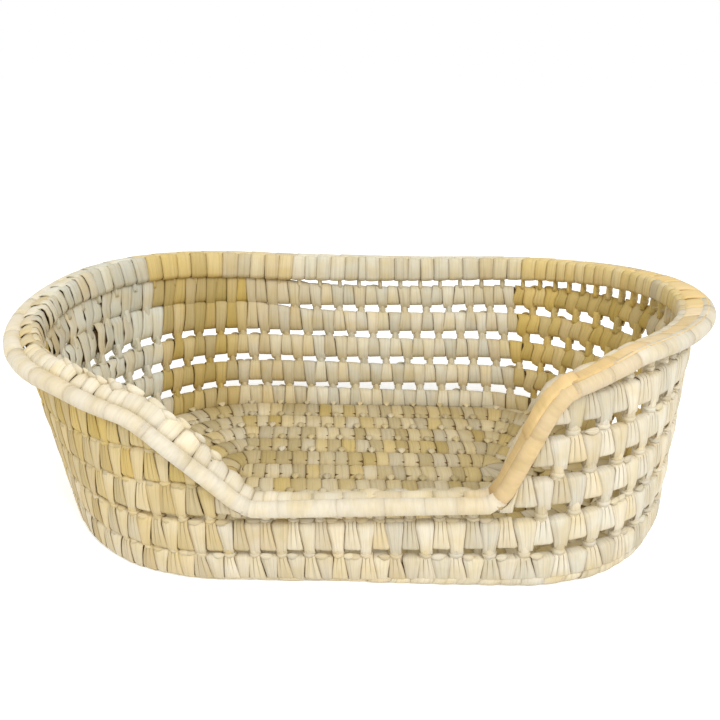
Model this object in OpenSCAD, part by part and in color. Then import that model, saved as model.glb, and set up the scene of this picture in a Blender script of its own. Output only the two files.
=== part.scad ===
// Oval pet bed basket, coiled from palm-leaf bundles wrapped in palm strips.
// Millimetres, +Z up, low entrance towards -Y, origin at the middle of the underside.
// Every row, tie and rim piece is placed on one leaning wall, given by the function wall().

/* [Oval] */
// half length of the straight front and back runs
straight_half = 104; // [60:1:250]
// end radius of the oval at the foot of the wall, to the middle of the coil
base_r = 145; // [75:1:220]

/* [Wall rows] */
// gap between one row and the next, at the back
row_gap = 6.1; // [6:0.1:12]
// outward step of each row
row_flare = 4.2; // [2:0.1:14]
// step of each row to the back
back_step = 4; // [0:0.1:6]
// step of each row to the left
left_step = 2.2; // [0:0.1:5]
// share by which the rows spread at the right front and close up at the left front
row_skew = 0.16; // [0:0.01:0.18]
// share by which the rows close up at the middle of the back
back_sag = 0.1; // [0:0.01:0.12]

/* [Coil] */
// height of a wrapped coil, measured along the wall
coil_h = 23; // [16:0.5:27]
// thickness of a wrapped coil
coil_t = 11; // [9:0.5:16]
// bevel along the long edges of a coil
coil_bevel = 4; // [3:0.1:4.2]
// thickness of the strips wound around a core
wrap_t = 1.2; // [0.6:0.1:2]
// play between a core bundle and its strips
core_play = 0.2; // [0.1:0.05:0.5]

/* [Rim] */
// height of the edge coil, measured along the wall
edge_h = 18; // [16:0.5:26]
// inward set of the edge coil from the middle of the wall
edge_in = 5; // [2:0.1:8]
// gap between the top row and the edge coil
edge_gap = 7.5; // [4:0.1:12]
// diameter of the outer roll
roll_d = 15.5; // [12:0.5:26]
// height of the middle of the outer roll above the middle of the edge coil
roll_up = 3; // [0:0.1:6]
// play between the outer roll and the edge coil, bridged by the lashings
roll_gap = 1.5; // [1:0.1:3]
// height of a lashing between the roll and the edge coil
lash_h = 3; // [2:0.1:5]
// play at the seats of a lashing
lash_play = 0.45; // [0.1:0.05:0.48]
// play between the ends of the rows and the edge coil
row_clear = 0.6; // [0.3:0.1:2]
// run over which the end of a row is slanted to the edge coil
end_run = 12; // [6:1:30]

/* [Entrance] */
// gap between the row under the lip and the edge coil
lip_gap = 2.2; // [2:0.1:8]
// run of the lip to the left of the middle
lip_left = 82; // [50:1:100]
// run of the lip to the right of the middle
lip_right = 94; // [50:1:100]
// run of the left slope, measured around the wall
slope_left = 65; // [50:1:110]
// run of the right slope, measured around the wall
slope_right = 37; // [36:1:90]
// run over which each shoulder still rises after its slope
shoulder_run = 55; // [30:1:90]
// height gained on a shoulder
shoulder_rise = 16; // [8:0.5:20]
// run over which each corner of the entrance is softened
corner_run = 14; // [6:1:24]

/* [Base] */
// thickness of the base coil
base_t = 11; // [9:0.5:16]
// bevel along the long edges of the base coil
base_bevel = 3; // [2:0.1:4]
// play between turns of the base, bridged by the ties
base_gap = 1.5; // [0.8:0.1:3]
// play between the base and the foot of the first row
foot_gap = 1; // [0.8:0.1:3]
// height of a tie between the base and the first row
foot_tie_h = 2.4; // [1.5:0.1:3]
// bare height left above and below a tie of the base
tie_inset = 0.4; // [0.2:0.1:1]

/* [Knots] */
// distance between knots, measured around the wall
knot_pitch = 28; // [20:0.5:40]
// width of a knot
knot_w = 9; // [5:0.5:14]
// thickness of a knot through the wall
knot_t = 6; // [4:0.5:8]
// play at the seats of a knot
knot_play = 0.3; // [0.1:0.05:0.4]

/* [Hidden] */
rows = 5;
lip_rows = 2;
turns = 5;
probe = 2;
end_inset = 4;
row_pitch = coil_h + row_gap;
row_rise = sqrt(row_pitch * row_pitch - row_flare * row_flare);
arc_steps = 16;
arc_sag = base_r * (1 - cos(90 / arc_steps));
open_steps = 36;
end_steps = 3;
tail_reach = 0.8;
mid_r = base_r + 2.4 * row_flare;
around = 4 * straight_half + 2 * PI * mid_r;
rim_row = rows - 0.5 + (coil_h / 2 + edge_gap + edge_h / 2) / row_pitch;
lip_row = lip_rows - 0.5 + (coil_h / 2 + lip_gap + edge_h / 2) / row_pitch;
shoulder_rows = shoulder_rise / row_pitch;
slope_top = rim_row - shoulder_rows;
edge_t = coil_t;
roll_out = roll_d / 2 + roll_gap + edge_t / 2 - edge_in;
base_edge = base_r - coil_t / 2 - foot_gap;
turn = base_edge / (turns + 0.5);
base_w = turn - base_gap;
strip_col = [0.90, 0.82, 0.62];
knot_col = [0.84, 0.74, 0.50];
core_col = [0.62, 0.52, 0.34];
roll_col = [0.94, 0.89, 0.74];

// Places around the oval, s = 0 at the middle of the front and growing to the right.
function wrapped(s) = s > around / 2 ? s - around : s;
function side(s) = s < 0 ? -1 : 1;
function turned(a) = max(0, min(180, (a - straight_half) / mid_r * 180 / PI));
function spine_at(s, a) = side(s) * (a < straight_half ? a
    : a < straight_half + PI * mid_r ? straight_half
    : 2 * straight_half + PI * mid_r - a);
function spine(s) = spine_at(wrapped(s), abs(wrapped(s)));
function out_x(s) = side(wrapped(s)) * sin(turned(abs(wrapped(s))));
function out_y(s) = -cos(turned(abs(wrapped(s))));
function side_share(s) = (spine(s) + mid_r * out_x(s)) / (straight_half + mid_r);
function spread(s) = (1 + row_skew * side_share(s) * (1 - out_y(s)) / 2)
    * (1 - back_sag * max(0, out_y(s)) * (1 - pow(side_share(s), 2)));
function lean(s) = atan2(row_flare - left_step * out_x(s) + back_step * out_y(s), row_rise * spread(s));
function outward(s) = [out_x(s) * cos(lean(s)), out_y(s) * cos(lean(s)), -sin(lean(s))];

// A point of the wall: r rows up, place s, u millimetres outside the middle of the coil.
function wall(r, s, u = 0) = [
    spine(s) + (base_r + row_flare * r) * out_x(s) - left_step * r,
    (base_r + row_flare * r) * out_y(s) + back_step * r,
    row_rise * r * spread(s)] + u * outward(s);
function row_step(s) = norm(wall(1, s) - wall(0, s));
function in_row(r, s, u, v) = wall(r + v / row_step(s), s, u);

// Height of the edge coil around the wall, in rows.
function ramp(d, run) = d <= 0 ? lip_row
    : d <= run ? lip_row + (slope_top - lip_row) * d / run
    : min(rim_row, slope_top + shoulder_rows * (d - run) / shoulder_run);
function edge_row_at(s) = s < 0 ? ramp(-s - lip_left, slope_left) : ramp(s - lip_right, slope_right);
function edge_row(s) = let (heights = [for (i = [-2 : 2]) edge_row_at(wrapped(s) + corner_run * i / 4)])
    heights * [1, 1, 1, 1, 1] / 5;

// Where a row has to stop short of the edge coil, h rows up.
function slope_of(run, s) = atan((slope_top - lip_row) * row_step(s) / run);
function stop(h, lip, run, s) = let (reach = edge_h / 2 + row_clear)
    lip + max(run * (h + reach / cos(slope_of(run, s)) / row_step(s) - lip_row) / (slope_top - lip_row),
    run + shoulder_run * (h + (reach + row_clear) / row_step(s) - slope_top) / shoulder_rows);
function right_stop(h) = stop(h, lip_right, slope_right, straight_half);
function left_stop(h) = around - stop(h, lip_left, slope_left, -straight_half);

// Sections through a coil, u through the wall and v along it.
function flat_coil(h, t, b) = [[t / 2, h / 2 - b], [t / 2 - b, h / 2], [b - t / 2, h / 2],
    [-t / 2, h / 2 - b], [-t / 2, b - h / 2], [b - t / 2, -h / 2], [t / 2 - b, -h / 2],
    [t / 2, b - h / 2]];
function coil_inside(g) = flat_coil(coil_h - 2 * g, coil_t - 2 * g, coil_bevel - 0.6 * g);
function edge_inside(g) = flat_coil(edge_h - 2 * g, edge_t - 2 * g, coil_bevel - 0.6 * g);
function round_coil(d) = [for (a = [0 : 36 : 324]) [d / 2 * cos(a), d / 2 * sin(a)]];

// Skin over rings of points, each ring with the same number of points.
module skin(rings, closed) {
    n = len(rings);
    m = len(rings[0]);
    points = [for (ring = rings) for (p = ring) p];
    sides = [for (i = [0 : closed ? n - 1 : n - 2]) for (j = [0 : m - 1])
        let (a = i * m + j, b = i * m + (j + 1) % m, k = ((i + 1) % n) * m)
        each [[a, b, k + j], [b, k + (j + 1) % m, k + j]]];
    first = closed ? [] : [for (j = [1 : m - 2]) [0, j + 1, j]];
    last = closed ? [] : [for (j = [1 : m - 2]) [(n - 1) * m, (n - 1) * m + j, (n - 1) * m + j + 1]];
    polyhedron(points = points, faces = concat(sides, first, last), convexity = 8);
}

// Places at which a closed row is cut into straight pieces.
function evenly(a, b, n) = [for (i = [0 : n - 1]) a + (b - a) * i / n];
arc_end = straight_half + PI * mid_r;
row_places = concat(evenly(-straight_half, straight_half, 4), evenly(straight_half, arc_end, arc_steps),
    evenly(arc_end, around - arc_end, 4), evenly(around - arc_end, around - straight_half, arc_steps));
rim_places = let (l = lip_left + slope_left, r = lip_right + slope_right, z = shoulder_run, q = corner_run)
    concat(evenly(-l - z, -l - q, 3), evenly(-l - q, -l + q, 6), evenly(-l + q, -lip_left - q, 2),
    evenly(-lip_left - q, -lip_left + q, 6), evenly(-lip_left + q, lip_right - q, 3),
    evenly(lip_right - q, lip_right + q, 6), evenly(lip_right + q, r - q, 2),
    evenly(r - q, r + q, 6), evenly(r + q, r + z, 3), evenly(r + z, arc_end, arc_steps - 4),
    evenly(arc_end, around - arc_end, 4), evenly(around - arc_end, around - l - z, arc_steps - 4));

// Places along an open row: slanted ends first, then steps that every depth of the row shares.
function row_top(k) = k - 0.5 + coil_h / 2 / row_step(0);
function open_place(k, i, h, back) = let (
    first = right_stop(row_top(k)) + end_run,
    last = left_stop(row_top(k)) - end_run,
    a = right_stop(h) + back,
    b = left_stop(h) - back,
    j = open_steps - i)
    i < end_steps ? a + (first - a) * i / end_steps
    : j < end_steps ? b + (last - b) * j / end_steps
    : first + (last - first) * (i - end_steps) / (open_steps - 2 * end_steps);

// One row of the wall, g millimetres inside its outer surface.
module row(k, g = 0) {
    if (k <= lip_rows)
        skin([for (s = row_places) [for (p = coil_inside(g)) in_row(k - 0.5, s, p[0], p[1])]], true);
    else
        skin([for (i = [0 : open_steps]) [for (p = coil_inside(g))
            let (h = k - 0.5 + p[1] / row_step(0), s = open_place(k, i, h, end_inset * g))
            in_row(k - 0.5, s, p[0], p[1])]], false);
}

// One piece of the rim: section in, o outside the wall's middle, up above the edge line.
function rim_line(s, o, up) = wall(edge_row(s) + up / row_step(s), s, o);
function unit(v) = v / norm(v);
function rim_ring(s, section, o, up) = let (
    along = unit(rim_line(s + probe, o, up) - rim_line(s - probe, o, up)),
    away = unit(outward(s) - (outward(s) * along) * along),
    high = cross(away, along))
    [for (p = section) rim_line(s, o, up) + p[0] * away + p[1] * high];
module rim(section, o, up) {
    skin([for (s = rim_places) rim_ring(s, section, o, up)], true);
}

// A block seated between two heights of the wall, at place s.
module knot(s, low, high, u) {
    up = unit(wall(1, s) - wall(0, s));
    along = unit(wall(low, s + probe) - wall(low, s - probe));
    away = unit(cross(along, up));
    top = cross(away, along);
    at = wall(low, s, u) + knot_play * up;
    tall = (high - low) * row_step(s) - 2 * knot_play;
    multmatrix([[along[0], away[0], top[0], at[0]], [along[1], away[1], top[1], at[1]],
        [along[2], away[2], top[2], at[2]], [0, 0, 0, 1]])
        translate([-knot_w / 2, -knot_t / 2, 0])
            cube([knot_w, knot_t, tall]);
}
module wall_knots(k) {
    from = k < lip_rows ? 0 : right_stop(k) + knot_w;
    to = k < lip_rows ? around : left_stop(k) - knot_w;
    n = floor((to - from) / knot_pitch);
    for (i = [0 : n - 1]) {
        s = from + (to - from) * (i + (k % 2 == 0 ? 0.75 : 0.25)) / n;
        half = coil_h / 2 / row_step(s);
        knot(s, k - 0.5 + half, k + 0.5 - half, 0);
    }
}

// Base coil: a flat spiral with ends turned about two centres.
module base_section(g) {
    polygon([for (p = flat_coil(base_t - 2 * g, base_w - 2 * g, base_bevel - 0.6 * g))
        [p[0], p[1] + base_t / 2]]);
}
module base_bend(r, g) {
    rotate([0, 0, -90])
        rotate_extrude(angle = 180, $fn = 96)
            translate([r, 0])
                base_section(g);
}
module base_run(y, g, from, to) {
    translate([from, y, 0])
        rotate([90, 0, 90])
            linear_extrude(to - from)
                base_section(g);
}
module base_nose(g) {
    h = base_t - 2 * g;
    w = base_w - 2 * g;
    b = base_bevel - 0.6 * g;
    translate([-straight_half, 0, base_t / 2])
        rotate([0, 0, 90])
            rotate_extrude(angle = 180, $fn = 96)
                polygon([[0, -h / 2], [w / 2 - b, -h / 2], [w / 2, b - h / 2],
                    [w / 2, h / 2 - b], [w / 2 - b, h / 2], [0, h / 2]]);
}
module base_spiral(g) {
    c = straight_half;
    base_nose(g);
    base_run(0, g, -c, c);
    for (i = [1 : turns]) {
        translate([c, turn / 2, 0])
            base_bend((i - 0.5) * turn, g);
        base_run(i * turn, g, -c, c);
        translate([-c, 0, 0])
            rotate([0, 0, 180])
                base_bend(i * turn, g);
        base_run(-i * turn, g, -c, i == turns ? c - g : c);
    }
}

// Least play between turns of the base, measured on points along its middle line.
function run_points(from, to, y) = [for (i = [0 : 8]) [from + (to - from) * i / 8, y]];
function bend_points(x, y, r, from) = [for (a = [from + 15 : 15 : from + 165])
    [x + r * cos(a), y + r * sin(a)]];
base_line = let (c = straight_half) concat(run_points(-c, c, 0), [for (i = [1 : turns]) each concat(
    bend_points(c, turn / 2, (i - 0.5) * turn, -90), run_points(c, -c, i * turn),
    bend_points(-c, 0, i * turn, 90), run_points(-c, c, -i * turn))]);
half_turn = 22;
base_least = min([for (i = [0 : len(base_line) - half_turn - 1])
    for (j = [i + half_turn : len(base_line) - 1]) norm(base_line[i] - base_line[j])]) - base_w;
echo(base_least_gap = base_least);

module base_core() color(core_col) base_spiral(wrap_t + core_play);
module base_wrap() color(strip_col)
    difference() {
        base_spiral(0);
        base_spiral(wrap_t);
    }
module base_tail() color(strip_col)
    intersection() {
        linear_extrude(base_t)
            difference() {
                translate([straight_half, 0])
                    circle(r = base_edge - base_gap / 2, $fn = 128);
                translate([straight_half, turn / 2])
                    circle(r = turns * turn - base_gap / 2 + knot_play, $fn = 128);
            }
        translate([straight_half + knot_play, -2 * base_edge, -1])
            cube([2 * base_edge, (2 + tail_reach) * base_edge, base_t + 2]);
    }
module base_ties() color(knot_col) {
    c = straight_half;
    low = base_bevel + tie_inset;
    tall = base_t - 2 * (base_bevel + tie_inset);
    for (i = [0 : turns - 1]) {
        n = floor(2 * c / knot_pitch);
        shift = i % 2 == 0 ? 0.3 : 0.7;
        for (j = [0 : n - 1])
            for (y = [(i + 0.5) * turn, -(i + 0.5) * turn])
                translate([-c + 2 * c * (j + shift) / n - knot_w / 2, y - base_gap / 2, low])
                    cube([knot_w, base_gap, tall]);
        bend_ties(-c, 0, (i + 0.5) * turn, 90);
        if (i > 0)
            bend_ties(c, turn / 2, i * turn, -90);
    }
}
module bend_ties(x, y, r, from) {
    low = base_bevel + tie_inset;
    tall = base_t - 2 * (base_bevel + tie_inset);
    n = max(1, floor(PI * r / knot_pitch));
    wide = knot_w / r * 180 / PI;
    for (j = [0 : n - 1])
        translate([x, y, 0])
            rotate([0, 0, from + 180 * (j + 0.5) / n - wide / 2])
                rotate_extrude(angle = wide, $fn = 96)
                    translate([r - base_gap / 2, low])
                        square([base_gap, tall]);
}

// Ties from the outer turn of the base to the inner face of the first row.
function foot_face(s, z) = let (r = z / row_rise / spread(s), v = (r - 0.5) * row_step(s))
    wall(r, s, -coil_t / 2 + max(0, coil_bevel - coil_h / 2 - v) - knot_play - (out_x(s) == 0 ? 0 : arc_sag));
function base_reach(x, y) = x > 0 && y > tail_reach
    ? turn / 2 * y + sqrt(pow(turns * turn - base_gap / 2, 2) - pow(turn / 2 * x, 2))
    : base_edge - base_gap / 2;
function base_face(s, r, z) = [spine(s) + r * out_x(s), r * out_y(s), z];
module foot_tie(s) {
    low = (base_t - foot_tie_h) / 2;
    high = (base_t + foot_tie_h) / 2;
    d = knot_w / 2;
    r = knot_play + max(base_reach(out_x(s - d), out_y(s - d)), base_reach(out_x(s + d), out_y(s + d)));
    polyhedron(points = [base_face(s - d, r, low), base_face(s + d, r, low), foot_face(s + d, low),
        foot_face(s - d, low), base_face(s - d, r, high), base_face(s + d, r, high), foot_face(s + d, high),
        foot_face(s - d, high)],
        faces = [[0, 1, 2], [0, 2, 3], [4, 6, 5], [4, 7, 6], [0, 5, 1], [0, 4, 5], [1, 6, 2], [1, 5, 6],
        [2, 7, 3], [2, 6, 7], [3, 4, 0], [3, 7, 4]]);
}
module foot_ties() color(knot_col) {
    n = floor(around / knot_pitch);
    for (i = [0 : n - 1])
        foot_tie(around * (i + 0.5) / n);
}

module row_core(k) color(core_col) row(k, wrap_t + core_play);
module row_wrap(k) color(strip_col)
    difference() {
        row(k);
        row(k, wrap_t);
    }
module edge_knots(below, from, to) {
    n = floor((to - from) / knot_pitch);
    for (i = [0 : n - 1]) {
        s = from + (to - from) * (i + 0.5) / n;
        half = coil_h / 2 / row_step(s);
        knot(s, below - 0.5 + half, edge_row(s) - edge_h / 2 / row_step(s), -edge_in / 2);
    }
}
module lip_knots() color(knot_col)
    edge_knots(lip_rows, -lip_left + knot_w, lip_right - knot_w);
module rim_knots() color(knot_col)
    edge_knots(rows, lip_right + slope_right + shoulder_run + corner_run,
        around - lip_left - slope_left - shoulder_run - corner_run);

module edge_core() color(core_col) rim(edge_inside(wrap_t + core_play), -edge_in, 0);
module edge_wrap() color(strip_col)
    difference() {
        rim(edge_inside(0), -edge_in, 0);
        rim(edge_inside(wrap_t), -edge_in, 0);
    }
module roll_core() color(core_col) rim(round_coil(roll_d - 2 * wrap_t - 2 * core_play), roll_out, roll_up);
module roll_wrap() color(roll_col)
    difference() {
        rim(round_coil(roll_d), roll_out, roll_up);
        rim(round_coil(roll_d - 2 * wrap_t), roll_out, roll_up);
    }
module rim_lashings() color(knot_col) {
    n = floor(around / knot_pitch);
    for (i = [0 : n - 1])
        lashing(around * (i + 0.5) / n);
}
module lashing(s) {
    along = unit(rim_line(s + probe, 0, 0) - rim_line(s - probe, 0, 0));
    away = unit(outward(s) - (outward(s) * along) * along);
    high = cross(away, along);
    at = rim_line(s, edge_t / 2 - edge_in, roll_up) + lash_play * away;
    multmatrix([[along[0], away[0], high[0], at[0]], [along[1], away[1], high[1], at[1]],
        [along[2], away[2], high[2], at[2]], [0, 0, 0, 1]])
        translate([-knot_w / 2, 0, -lash_h / 2])
            cube([knot_w, roll_gap - 2 * lash_play, lash_h]);
}

base_core();
base_wrap();
base_tail();
base_ties();
foot_ties();
row_core(1);  // row_1_core
row_core(2);  // row_2_core
row_core(3);  // row_3_core
row_core(4);  // row_4_core
row_core(5);  // row_5_core
row_wrap(1);  // row_1_wrap
row_wrap(2);  // row_2_wrap
row_wrap(3);  // row_3_wrap
row_wrap(4);  // row_4_wrap
row_wrap(5);  // row_5_wrap
color(knot_col) wall_knots(1);  // knots_1_2
color(knot_col) wall_knots(2);  // knots_2_3
color(knot_col) wall_knots(3);  // knots_3_4
color(knot_col) wall_knots(4);  // knots_4_5
lip_knots();
rim_knots();
edge_core();
edge_wrap();
roll_core();
roll_wrap();
rim_lashings();
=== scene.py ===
# Oval pet bed basket: palm strips, knots and rim laid on the leaning wall of the solids
import math
import random
import bpy
import numpy as np
from mathutils import Matrix, Vector


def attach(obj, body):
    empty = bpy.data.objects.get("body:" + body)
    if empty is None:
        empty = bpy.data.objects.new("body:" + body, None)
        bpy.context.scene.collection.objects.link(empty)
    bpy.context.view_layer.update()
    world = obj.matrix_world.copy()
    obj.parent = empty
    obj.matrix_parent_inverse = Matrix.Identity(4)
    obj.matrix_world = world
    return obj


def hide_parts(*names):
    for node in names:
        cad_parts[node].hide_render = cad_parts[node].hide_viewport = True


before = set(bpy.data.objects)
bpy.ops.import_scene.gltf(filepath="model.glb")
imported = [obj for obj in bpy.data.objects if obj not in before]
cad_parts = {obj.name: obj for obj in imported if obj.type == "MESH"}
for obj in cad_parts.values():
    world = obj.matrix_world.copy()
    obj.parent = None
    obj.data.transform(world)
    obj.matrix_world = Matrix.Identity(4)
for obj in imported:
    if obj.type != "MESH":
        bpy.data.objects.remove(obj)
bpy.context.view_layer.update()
mm = 0.001
print("frame loaded with", len(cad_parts), "nodes")

# The leaning wall: s runs round the oval from the middle of the front,
# r counts rows upwards and u goes out through the wall
wall = {
    "straightHalf": 104 * mm,
    "footRadius": 145 * mm,
    "flare": 4.2 * mm,
    "backStep": 4 * mm,
    "leftStep": 2.2 * mm,
    "skew": 0.16,
    "backSag": 0.1,
    "coilHigh": 23 * mm,
    "rowGap": 6.1 * mm,
    "rows": 5,
    "lipRows": 2,
}
midRadius = wall["footRadius"] + 2.4 * wall["flare"]
around = 4 * wall["straightHalf"] + 2 * math.pi * midRadius
rowPitch = wall["coilHigh"] + wall["rowGap"]
rowRise = math.sqrt(rowPitch ** 2 - wall["flare"] ** 2)


def wrapped(s):
    return (np.asarray(s, float) + around / 2) % around - around / 2


def ovalAt(s):
    s = wrapped(s)
    far = np.abs(s)
    side = np.where(s < 0, -1.0, 1.0)
    half = wall["straightHalf"]
    turned = np.clip((far - half) / midRadius, 0, math.pi)
    back = 2 * half + math.pi * midRadius - far
    spine = side * np.where(far < half, far, np.where(turned < math.pi, half, back))
    return spine, side * np.sin(turned), -np.cos(turned)


def spreadAt(s):
    spine, outX, outY = ovalAt(s)
    reach = (spine + midRadius * outX) / (wall["straightHalf"] + midRadius)
    sag = wall["backSag"] * np.clip(outY, 0, 1) * (1 - reach ** 2)
    return (1 + wall["skew"] * reach * (1 - outY) / 2) * (1 - sag)


def outwardAt(s):
    spine, outX, outY = ovalAt(s)
    run = wall["flare"] - wall["leftStep"] * outX + wall["backStep"] * outY
    lean = np.arctan2(run, rowRise * spreadAt(s))
    return np.stack([outX * np.cos(lean), outY * np.cos(lean), -np.sin(lean)], -1)


def wallPoint(r, s, u=0.0):
    spine, outX, outY = ovalAt(s)
    radius = wall["footRadius"] + wall["flare"] * r
    x = spine + radius * outX - wall["leftStep"] * r
    y = radius * outY + wall["backStep"] * r
    z = rowRise * r * spreadAt(s)
    return np.stack([x, y, z], -1) + np.expand_dims(u, -1) * outwardAt(s)


def rowStep(s):
    s = np.asarray(s, float)
    return np.linalg.norm(wallPoint(np.ones_like(s), s) - wallPoint(np.zeros_like(s), s), axis=-1)


# The rim's line: level at the back, down both slopes of the entrance, level along the lip
rim = {
    "edgeHigh": 18 * mm,
    "edgeThick": 12.6 * mm,
    "edgeIn": 5 * mm,
    "edgeGap": 7.5 * mm,
    "lipGap": 2.2 * mm,
    "lipLeft": 82 * mm,
    "lipRight": 94 * mm,
    "slopeLeft": 65 * mm,
    "slopeRight": 37 * mm,
    "shoulderRun": 55 * mm,
    "shoulderRise": 16 * mm,
    "cornerRun": 14 * mm,
    "places": (-695, -560, -420, -347, -230, -150, -120, -95, -75, 0,
               94, 131, 160, 230, 300, 347, 480, 560, 695),
    "rollSize": (7.5, 7.5, 7.8, 8.2, 7.2, 5.8, 5.9, 6, 6, 6.4,
                 6.2, 5.8, 6.2, 6.8, 7, 7.3, 7.5, 7.5, 7.5),
    "rollOut": (9.8, 9.8, 9.8, 9.8, 9.6, 9.4, 9.2, 9, 8.8, 8.8,
                8.8, 8.8, 9, 9.4, 9.8, 9.8, 9.8, 9.8, 9.8),
    "rollUp": (6.5, 4.5, 2.5, 0, 0, 0, 0, 0, 0, 0, 0, 0, 0, 0, 0, 0, 1.0, 3.5, 6.5),
    "edgeTop": (14, 12, 11, 9, 9, 9, 11, 6.5, 5, 5.5, 5, 6.5, 4, 4, 5, 8, 9.5, 11.5, 14),
    "edgeLow": (2, 4.5, 4.5, 1.5, 0, 0, 0, 0, 0, 0, 0, 0, 0, 0, 0, 0, 1.5, 2, 2),
    "rollSink": 4.75 * mm,
    "cover": 7 * mm,
    "dullAt": (-110 * mm, 130 * mm),
}
rimRow = wall["rows"] - 0.5 + (wall["coilHigh"] / 2 + rim["edgeGap"] + rim["edgeHigh"] / 2) / rowPitch
lipRow = wall["lipRows"] - 0.5 + (wall["coilHigh"] / 2 + rim["lipGap"] + rim["edgeHigh"] / 2) / rowPitch
slopeTop = rimRow - rim["shoulderRise"] / rowPitch


def rimSize(name, s):
    return np.interp(wrapped(s) / mm, rim["places"], rim[name]) * mm


def ramp(d, run):
    slope = lipRow + (slopeTop - lipRow) * np.clip(d / run, 0, 1)
    return slope + (rimRow - slopeTop) * np.clip((d - run) / rim["shoulderRun"], 0, 1)


def edgeRow(s):
    total = 0
    for i in range(-2, 3):
        t = wrapped(s) + rim["cornerRun"] * i / 4
        left = ramp(-t - rim["lipLeft"], rim["slopeLeft"])
        right = ramp(t - rim["lipRight"], rim["slopeRight"])
        total = total + np.where(t < 0, left, right)
    return total / 5


def rimLine(s, out, up):
    return wallPoint(edgeRow(s) + up / rowStep(s), s, out)


def unit(v):
    return v / np.linalg.norm(v, axis=-1, keepdims=True)


def rimPoint(s, u, v, out=0.0, up=0.0):
    s = np.asarray(s, float)
    o, w = out + np.zeros_like(s), up + np.zeros_like(s)
    along = unit(rimLine(s + 2 * mm, o, w) - rimLine(s - 2 * mm, o, w))
    away = outwardAt(s)
    away = unit(away - np.sum(away * along, -1, keepdims=True) * along)
    high = np.cross(away, along)
    return rimLine(s, o, w) + u[:, None] * away + v[:, None] * high


def rowCeiling(s):
    # how high a strip may stand before the edge coil covers it, in rows
    t = np.asarray(s, float)
    rise = np.abs(edgeRow(t + mm) - edgeRow(t - mm)) / (2 * mm) * rowStep(t)
    return edgeRow(t) - rim["cover"] * np.sqrt(1 + rise ** 2) / rowStep(t)


# Stations of the stitches: closest together at the front left, widest apart at the front right
stitch = {
    "places": (-695, -460, -330, -90, 20, 110, 330, 460, 695),
    "steps": (23, 23, 19, 19, 21, 24.5, 24.5, 23, 23),
    "lean": 6 * mm,
}
stationFine = np.linspace(-around / 2, around / 2, 4001)
stationStep = np.interp(stationFine / mm, stitch["places"], stitch["steps"]) * mm
stationCount = np.concatenate([[0], np.cumsum(np.diff(stationFine) / stationStep[1:])])
stations = round(stationCount[-1])
stationCount = stationCount * stations / stationCount[-1]


def stationAt(number):
    return float(np.interp(number % stations, stationCount, stationFine))


def stepAt(s):
    return float(np.interp(wrapped(s), stationFine, stationStep))


def leaning(r, s):
    # near the corners the stitches of a higher row stand a little nearer to the middle
    spine, outX, outY = ovalAt(s)
    return s + 2 * stitch["lean"] * outX * outY * (r - wall["rows"] / 2)


# Helpers for modelling masters and copying them
def startFresh():
    if bpy.context.object and bpy.context.object.mode != "OBJECT":
        bpy.ops.object.mode_set(mode="OBJECT")
    bpy.ops.object.select_all(action="DESELECT")


def pickPoints(obj, test):
    bpy.ops.object.mode_set(mode="EDIT")
    bpy.ops.mesh.select_mode(type="VERT")
    bpy.ops.mesh.select_all(action="DESELECT")
    bpy.ops.object.mode_set(mode="OBJECT")
    for point in obj.data.vertices:
        point.select = bool(test(point.co))
    bpy.ops.object.mode_set(mode="EDIT")


def pickEdges(obj, test):
    bpy.ops.object.mode_set(mode="EDIT")
    bpy.ops.mesh.select_mode(type="EDGE")
    bpy.ops.mesh.select_all(action="DESELECT")
    bpy.ops.object.mode_set(mode="OBJECT")
    for edge in obj.data.edges:
        edge.select = bool(test(*(obj.data.vertices[i].co for i in edge.vertices)))
    bpy.ops.object.mode_set(mode="EDIT")


def readMaster(obj, across, along):
    # the master's points, its faces, and a texture place for each corner of a face
    points = np.array([v.co[:] for v in obj.data.vertices])
    faces = np.array([list(f.vertices) for f in obj.data.polygons])
    places = np.stack([across(points), along(points)], -1)[faces]
    places = places + ((places.max(1, keepdims=True) - places) > 0.5)
    bpy.data.objects.remove(obj)
    return {"points": points, "faces": faces, "places": places.reshape(-1, 2)}


def layPiece(name, master, copies, tones, thick=0.0, folds=None, valleyShades=None, stretch=4.0):
    # tones colour a whole copy, folds paint shade along its pleats and valley shades paint shade on
    # single points
    count = len(master["points"])
    mesh = bpy.data.meshes.new(name)
    faces = np.concatenate([master["faces"] + count * i for i in range(len(copies))])
    mesh.from_pydata(np.concatenate(copies).tolist(), [], faces.tolist())
    layer = mesh.uv_layers.new(name="strip")
    places = [master["places"] * (1, stretch) + (0, dice.uniform(0, 40)) for copy in copies]
    layer.data.foreach_set("uv", np.concatenate(places).astype(np.float32).ravel())
    tone = mesh.color_attributes.new(name="tone", type="FLOAT_COLOR", domain="POINT")
    tone.data.foreach_set("color", np.repeat(np.array(tones, np.float32), count, 0).ravel())
    for attribute, values in (("fold", folds), ("valleyShade", valleyShades)):
        layer = mesh.attributes.new(name=attribute, type="FLOAT", domain="POINT")
        values = values or [np.zeros(count)] * len(copies)
        layer.data.foreach_set("value", np.concatenate(values).astype(np.float32))
    piece = bpy.data.objects.new(name, mesh)
    bpy.context.collection.objects.link(piece)
    startFresh()
    bpy.context.view_layer.objects.active = piece
    piece.select_set(True)
    bpy.ops.object.shade_smooth()
    if thick:
        solid = piece.modifiers.new("strip thickness", "SOLIDIFY")
        solid.thickness = thick
        solid.offset = -1
        bpy.ops.object.modifier_apply(modifier=solid.name)
    return piece


def dress(piece, material, slot, *nodes):
    piece.data.materials.clear()
    piece.data.materials.append(material)
    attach(piece, "root")
    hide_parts(*nodes)
    print(piece.name, len(piece.data.polygons), "faces")


# Materials
def srgb(r, g, b):
    return tuple(((c / 255 + 0.055) / 1.055) ** 2.4 for c in (r, g, b)) + (1,)


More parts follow.
